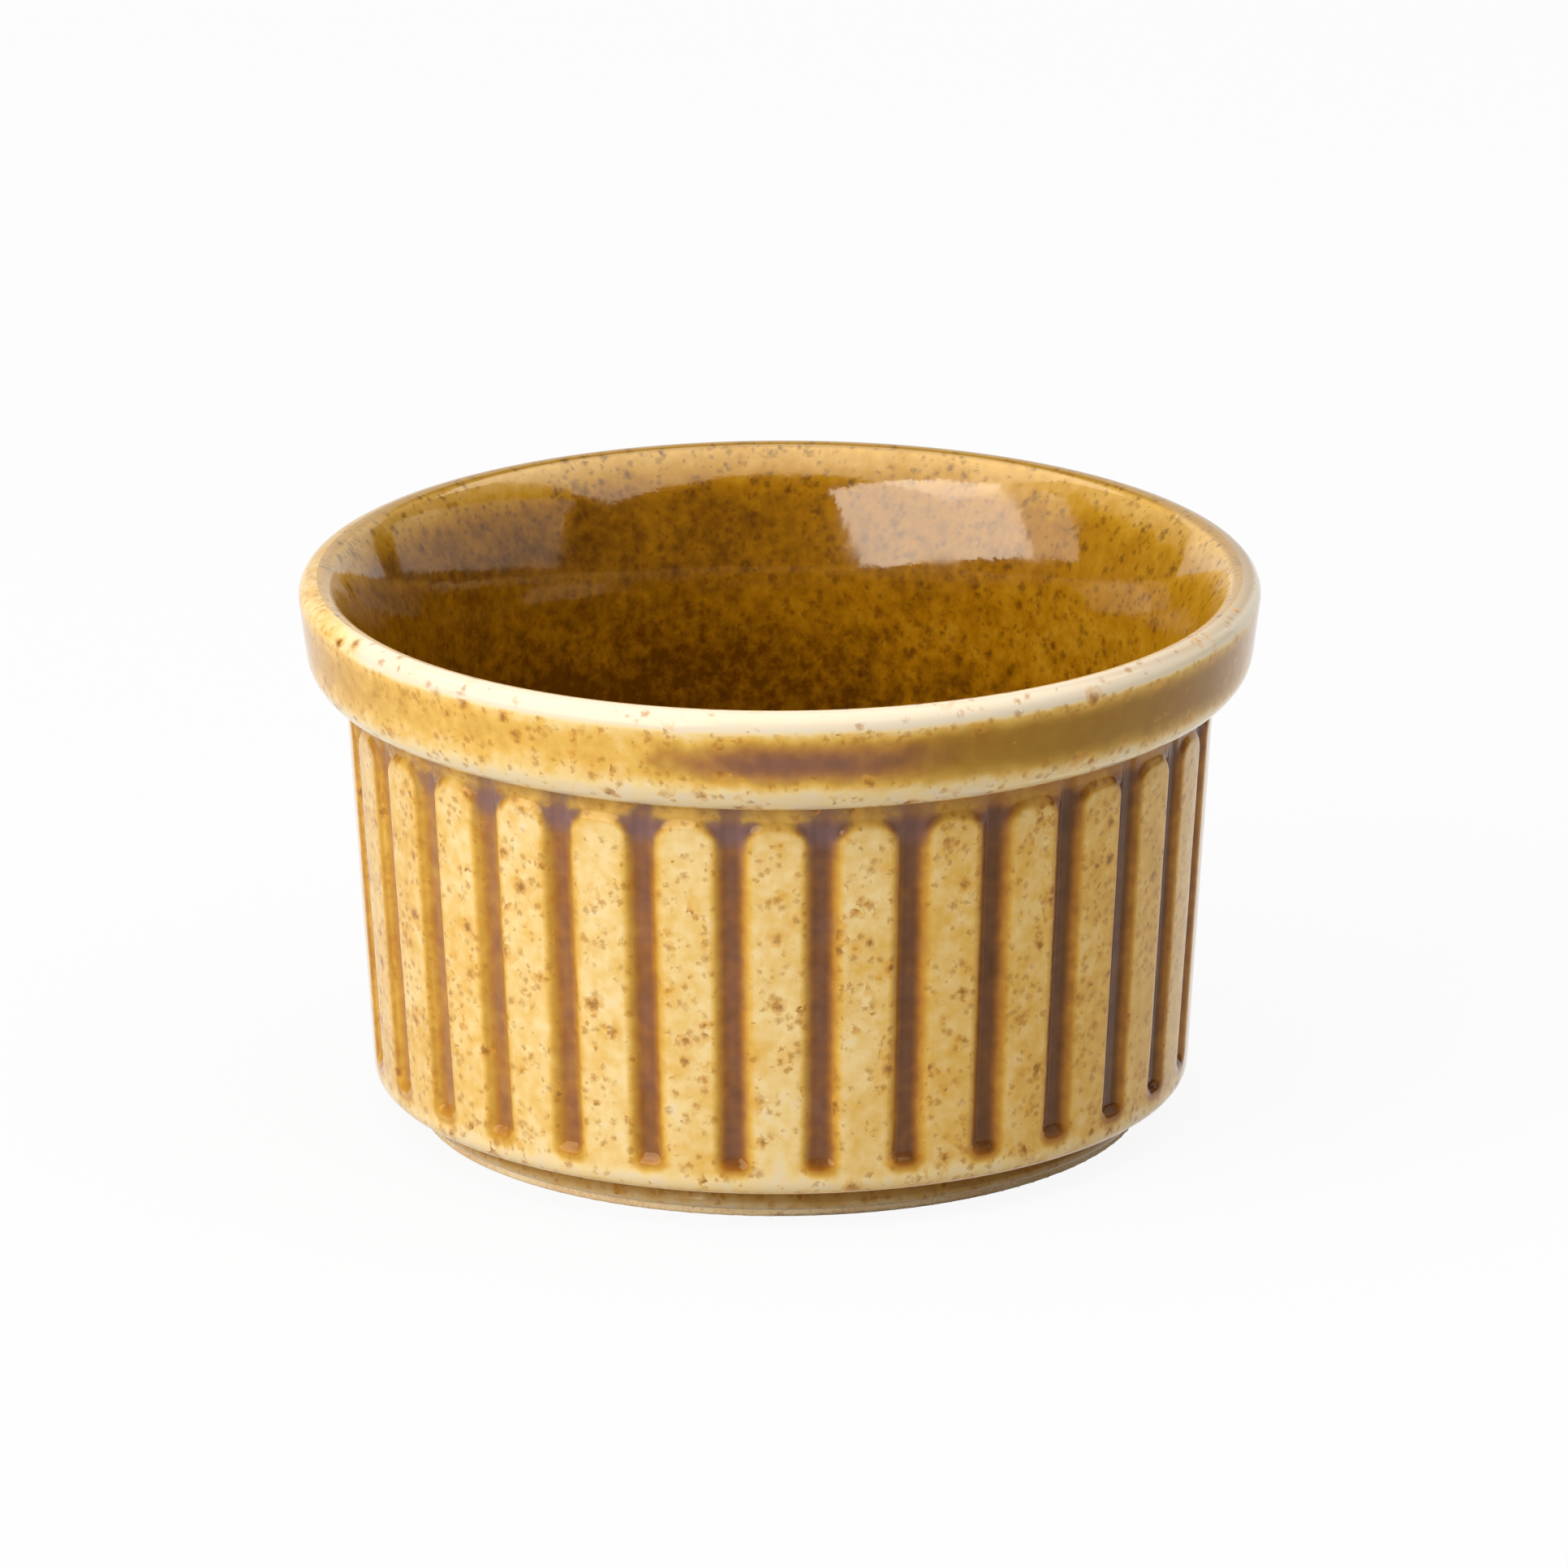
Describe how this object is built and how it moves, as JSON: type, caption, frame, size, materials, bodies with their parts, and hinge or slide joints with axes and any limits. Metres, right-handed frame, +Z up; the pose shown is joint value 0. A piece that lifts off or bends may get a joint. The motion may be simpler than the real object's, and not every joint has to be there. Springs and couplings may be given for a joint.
{
  "type": "fluted ramekin",
  "caption": "Small round stoneware baking dish with a fluted wall, a thick rounded collar, a flared lip and a foot ring, glazed inside and out.",
  "frame": {"origin": "centre of the foot ring's resting plane", "axes": "+Z up through the mouth, which is the axis of symmetry; +X through the middle of one flute"},
  "size_m": [0.09, 0.09, 0.052],
  "materials": {
    "fired_stoneware": "matt, bare fired clay",
    "honey_glaze": "glossy honey glaze that breaks pale on the ribs and pools brown in the flutes",
    "amber_glaze": "glossy amber liner glaze with fine dark specks"
  },
  "bodies": {
    "root": {"stoneware_body": "fired_stoneware", "outer_glaze": "honey_glaze", "inner_glaze": "amber_glaze", "base_glaze": "honey_glaze"}
  },
  "joints": []
}
